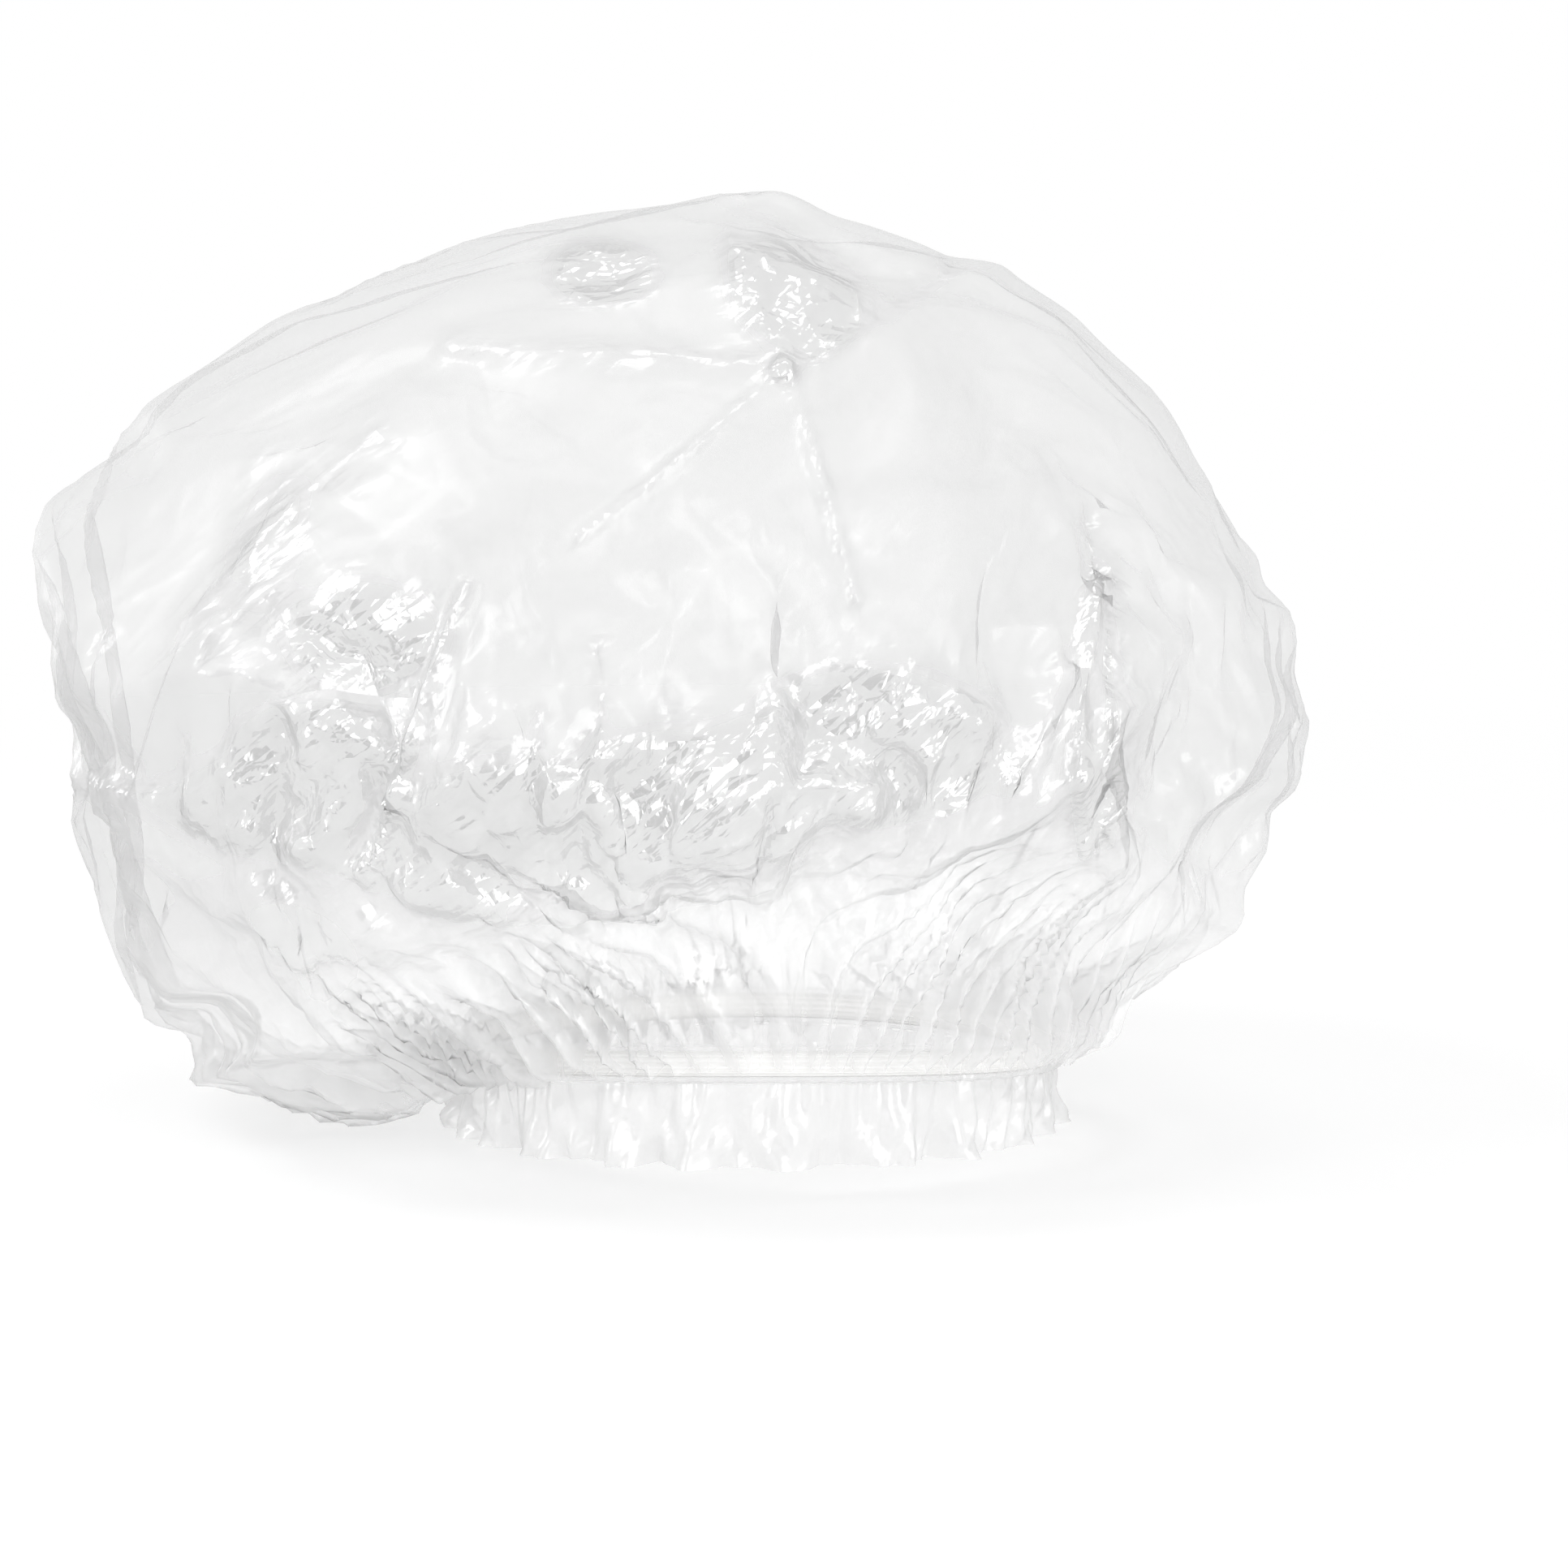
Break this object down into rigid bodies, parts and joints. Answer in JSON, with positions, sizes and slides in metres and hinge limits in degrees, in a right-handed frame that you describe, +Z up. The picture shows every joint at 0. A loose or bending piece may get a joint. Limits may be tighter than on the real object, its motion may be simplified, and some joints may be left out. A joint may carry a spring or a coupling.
{
  "type": "shower cap",
  "caption": "Clear film shower cap: a puffed round of thin film gathered on an elastic loop in a folded hem casing with a short frill, worn over hair to keep it dry.",
  "frame": {"origin": "centre of the opening, in the middle of the elastic loop", "axes": "+Z up through the crown, -Y to the front of the cap, +X to the right as seen from the front"},
  "size_m": [0.242, 0.2186, 0.178],
  "materials": {
    "clear_film": "clear glossy polythene film, finely creased, with packing folds",
    "gathered_film": "the same clear film, folded double and gathered into fine pleats",
    "elastic": "off-white matt elastic strip"
  },
  "bodies": {
    "left_half": {"crown_film_left": "clear_film", "hem_casing_left": "gathered_film", "elastic_band_left": "elastic", "hem_frill_left": "gathered_film"},
    "right_half": {"crown_film_right": "clear_film", "hem_casing_right": "gathered_film", "elastic_band_right": "elastic", "hem_frill_right": "gathered_film"}
  },
  "joints": [
    {"name": "hem_stretch", "type": "slide", "parent": "left_half", "child": "right_half", "axis": [1, 0, 0], "range_m": [0, 0.12], "stiffness_N_per_m": 30}
  ]
}
